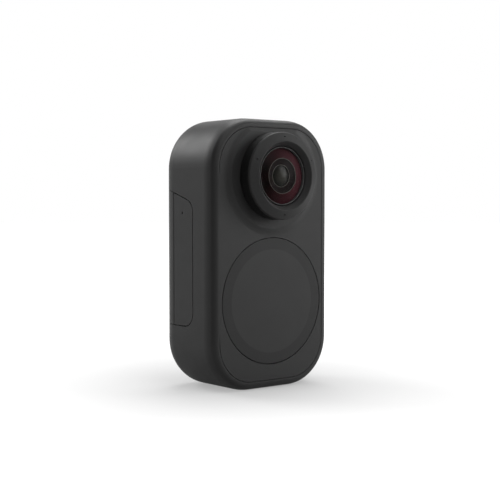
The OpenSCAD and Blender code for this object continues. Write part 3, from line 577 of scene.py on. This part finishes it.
# The photograph's camera, in the CAD frame
CAMERA_TURN = math.radians(-38.65)
CAMERA_DISTANCE = 0.4031
CAMERA_HEIGHT = 0.0662
CAMERA_YAW = math.radians(0.245)
CAMERA_PITCH = math.radians(-2.49)
CAMERA_LENS = 79.85
CAMERA_SENSOR = 36.0
CAMERA_CLIP = 0.01
# Level direction from the camera to the object
AHEAD = (-math.sin(CAMERA_TURN), math.cos(CAMERA_TURN), 0)

FLOOR_RADIUS = 3.0
FLOOR_STEPS = 96
FLOOR_GRAIN = 0.05
FLOOR_SHADES = (grey(150), grey(156))
# The floor's glow is weaker near the object, as painted shade round it, and grows from a least strength
# there to 1:
# that strength, the distances where the growth starts and ends, its power, and how far the painted shade's
# centre lies behind the object's middle
FLOOR_LIFT = 0.22
LIFT_NEAR = 0.006
LIFT_FAR = 0.18
LIFT_CURVE = 0.6
SHADE_BACK = 0.008
# Distance ahead over which the floor's mirrored glow grows to its full share
FLOOR_TURN = (-0.1, 0.15)

# Light of the surroundings on matt surfaces, and in reflections round and in front of the object
AMBIENT = 0.1
GLOSS_AROUND = 0.15
FRONT_DARK = 0.02
# Cosine to the way ahead over which the dark part turns into the room, and the room into the backdrop
ROOM_TURN = (-0.8, -0.2)
BACKDROP_TURN = (0.75, 0.97)

# Square lamps by place, side length and power, and the point that they face
LAMPS = {
    "key": ((0.9, -0.65, 0.4), 0.7, 5.2),
    "front_top": ((-0.15, -0.85, 0.95), 0.6, 3.6),
    "rear_top": ((0.4, 0.3, 1.05), 0.8, 9.8),
    "left_rear": ((-0.29, 0.66, 0.5), 0.4, 3.9),
}
LAMP_AIM = Vector((0, 0, 0.05))


def clear_ray(tree, path):
    """1 for a mirrored or refracted ray that has not met a matt surface before."""
    either = tree.math("MAXIMUM", path["Is Glossy Ray"], path["Is Transmission Ray"])
    # The depth counts matt surfaces, so that less than a half is none
    direct = tree.math("LESS_THAN", path["Diffuse Depth"], 0.5)
    return tree.math("MULTIPLY", either, direct)


def make_floor():
    """Pale floor that turns white away from the object, with painted shade from its weaker glow near it,
    and keeps the object's real shadow.
    """
    bpy.ops.mesh.primitive_circle_add(vertices=FLOOR_STEPS, radius=FLOOR_RADIUS, fill_type="NGON")
    floor = bpy.context.object
    floor.name = "floor"
    nodes = Nodes("floor_paper")
    nodes.paint(nodes.blend(nodes.noise(size=FLOOR_GRAIN, detail=4), *FLOOR_SHADES))
    nodes.fix(Roughness=0.9, Specular_IOR_Level=0.1, Emission_Color=WHITE)
    shade_centre = [share * SHADE_BACK for share in AHEAD]
    # Painted shade: the floor's glow is weaker close to the object, a soft pool of shade round it, centred
    # a little behind its middle
    away = nodes.fade(nodes.measure("DISTANCE", nodes.places, shade_centre), LIFT_NEAR, LIFT_FAR)
    rise = nodes.fade(nodes.math("POWER", away, LIFT_CURVE), 0.0, 1.0, low=FLOOR_LIFT)
    ahead = nodes.measure("DOT_PRODUCT", nodes.places, AHEAD)
    behind = nodes.fade(ahead, *FLOOR_TURN, low=GLOSS_AROUND, smooth=True)
    path = nodes.add("ShaderNodeLightPath").outputs
    mirrored = nodes.math("MULTIPLY", clear_ray(nodes, path), behind)
    seen = nodes.math("MAXIMUM", path["Is Camera Ray"], mirrored)
    nodes.feed(nodes.shader.inputs["Emission Strength"], nodes.math("MULTIPLY", seen, rise))
    floor.data.materials.append(nodes.material)


def make_world():
    """White backdrop behind the object, a dim room round it and a dark one behind the camera."""
    world = bpy.data.worlds.new("studio")
    bpy.context.scene.world = world
    world.use_nodes = True
    background = world.node_tree.nodes["Background"]
    background.inputs["Color"].default_value = WHITE
    tree = Tree(world.node_tree)
    ahead = tree.measure("DOT_PRODUCT", tree.add("ShaderNodeTexCoord").outputs["Generated"], AHEAD)
    room = tree.fade(ahead, *ROOM_TURN, low=FRONT_DARK, high=GLOSS_AROUND, smooth=True)
    backdrop = tree.fade(ahead, *BACKDROP_TURN, high=1.0 - GLOSS_AROUND, smooth=True)
    path = tree.add("ShaderNodeLightPath").outputs
    level = tree.mix(clear_ray(tree, path), AMBIENT, tree.math("ADD", room, backdrop))
    tree.feed(background.inputs["Strength"], tree.mix(path["Is Camera Ray"], level, 1.0))


def softbox(name, place, side, power):
    """Square area light that faces the middle of the object."""
    lamp = bpy.data.lights.new(name, "AREA")
    lamp.shape = "RECTANGLE"
    lamp.size = side
    lamp.size_y = side
    lamp.energy = power
    obj = bpy.data.objects.new(name, lamp)
    bpy.context.scene.collection.objects.link(obj)
    obj.location = place
    obj.rotation_euler = (LAMP_AIM - Vector(place)).to_track_quat("-Z", "Y").to_euler()


def make_camera():
    """Camera at the place from which the photograph was taken."""
    data = bpy.data.cameras.new("photo_camera")
    data.lens = CAMERA_LENS
    data.sensor_width = CAMERA_SENSOR
    data.clip_start = CAMERA_CLIP
    camera = bpy.data.objects.new("photo_camera", data)
    bpy.context.scene.collection.objects.link(camera)
    sine, cosine = math.sin(CAMERA_TURN), math.cos(CAMERA_TURN)
    camera.location = (CAMERA_DISTANCE * sine, -CAMERA_DISTANCE * cosine, CAMERA_HEIGHT)
    right = Vector((cosine, sine, 0))
    aim = Vector(AHEAD) * math.cos(CAMERA_YAW) + right * math.sin(CAMERA_YAW)
    aim = aim * math.cos(CAMERA_PITCH) + Vector((0, 0, math.sin(CAMERA_PITCH)))
    camera.rotation_euler = aim.to_track_quat("-Z", "Y").to_euler()
    bpy.context.scene.camera = camera


make_floor()
make_world()
for name, (place, side, power) in LAMPS.items():
    softbox(name, place, side, power)
make_camera()
bpy.context.scene.view_settings.view_transform = "Standard"
